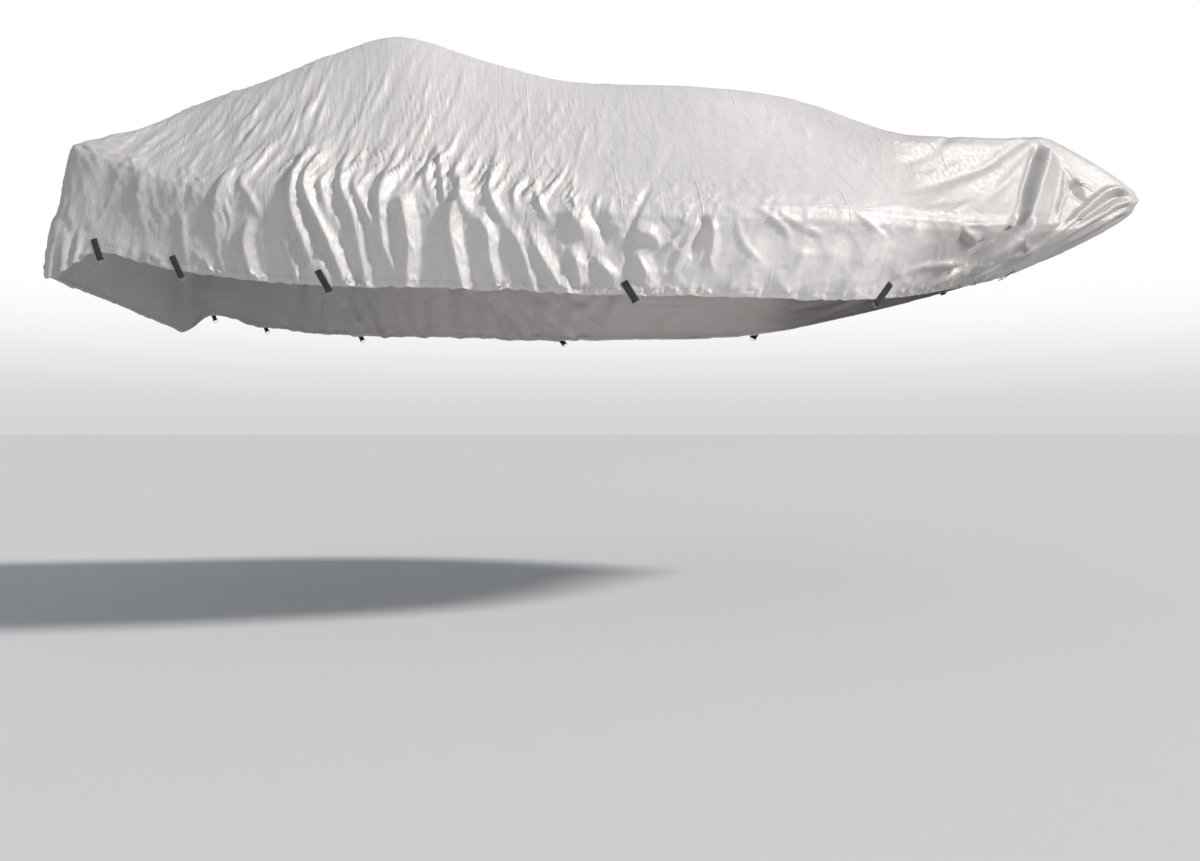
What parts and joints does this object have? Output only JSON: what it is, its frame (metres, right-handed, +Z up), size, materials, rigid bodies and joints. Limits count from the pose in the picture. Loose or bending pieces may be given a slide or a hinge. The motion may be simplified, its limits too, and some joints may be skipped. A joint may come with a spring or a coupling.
{
  "type": "fitted boat cover",
  "caption": "Silver fitted cover for a small runabout: one draped cloth, peaked over the windscreen and drawn in at the bow, with an elastic hem, webbing tabs and D-rings.",
  "frame": {"origin": "on the underside of the cloth at its peak, on the middle line, where the windscreen of the boat that is left out holds it up", "axes": "+X towards the bow, along the longest side; +Y to port; +Z up"},
  "size_m": [5.3051, 2.1621, 1.2472],
  "materials": {
    "silver_cloth": "silver-grey coated woven polyester, creased, with a soft sheen",
    "black_webbing": "black woven polypropylene webbing, matt",
    "ring_steel": "plated steel wire, dulled"
  },
  "bodies": {
    "root": {"cover_cloth": "silver_cloth", "tab_starboard_1": "black_webbing", "tab_starboard_2": "black_webbing", "tab_starboard_3": "black_webbing", "tab_starboard_4": "black_webbing", "tab_starboard_5": "black_webbing", "tab_starboard_6": "black_webbing", "tab_port_1": "black_webbing", "tab_port_2": "black_webbing", "tab_port_3": "black_webbing", "tab_port_4": "black_webbing", "tab_port_5": "black_webbing", "tab_port_6": "black_webbing", "ring_starboard_1": "ring_steel", "ring_starboard_2": "ring_steel", "ring_starboard_3": "ring_steel", "ring_starboard_4": "ring_steel", "ring_starboard_5": "ring_steel", "ring_starboard_6": "ring_steel", "ring_port_1": "ring_steel", "ring_port_2": "ring_steel", "ring_port_3": "ring_steel", "ring_port_4": "ring_steel", "ring_port_5": "ring_steel", "ring_port_6": "ring_steel", "tail_starboard_3": "black_webbing", "tail_starboard_5": "black_webbing", "tail_starboard_6": "black_webbing"}
  },
  "joints": []
}
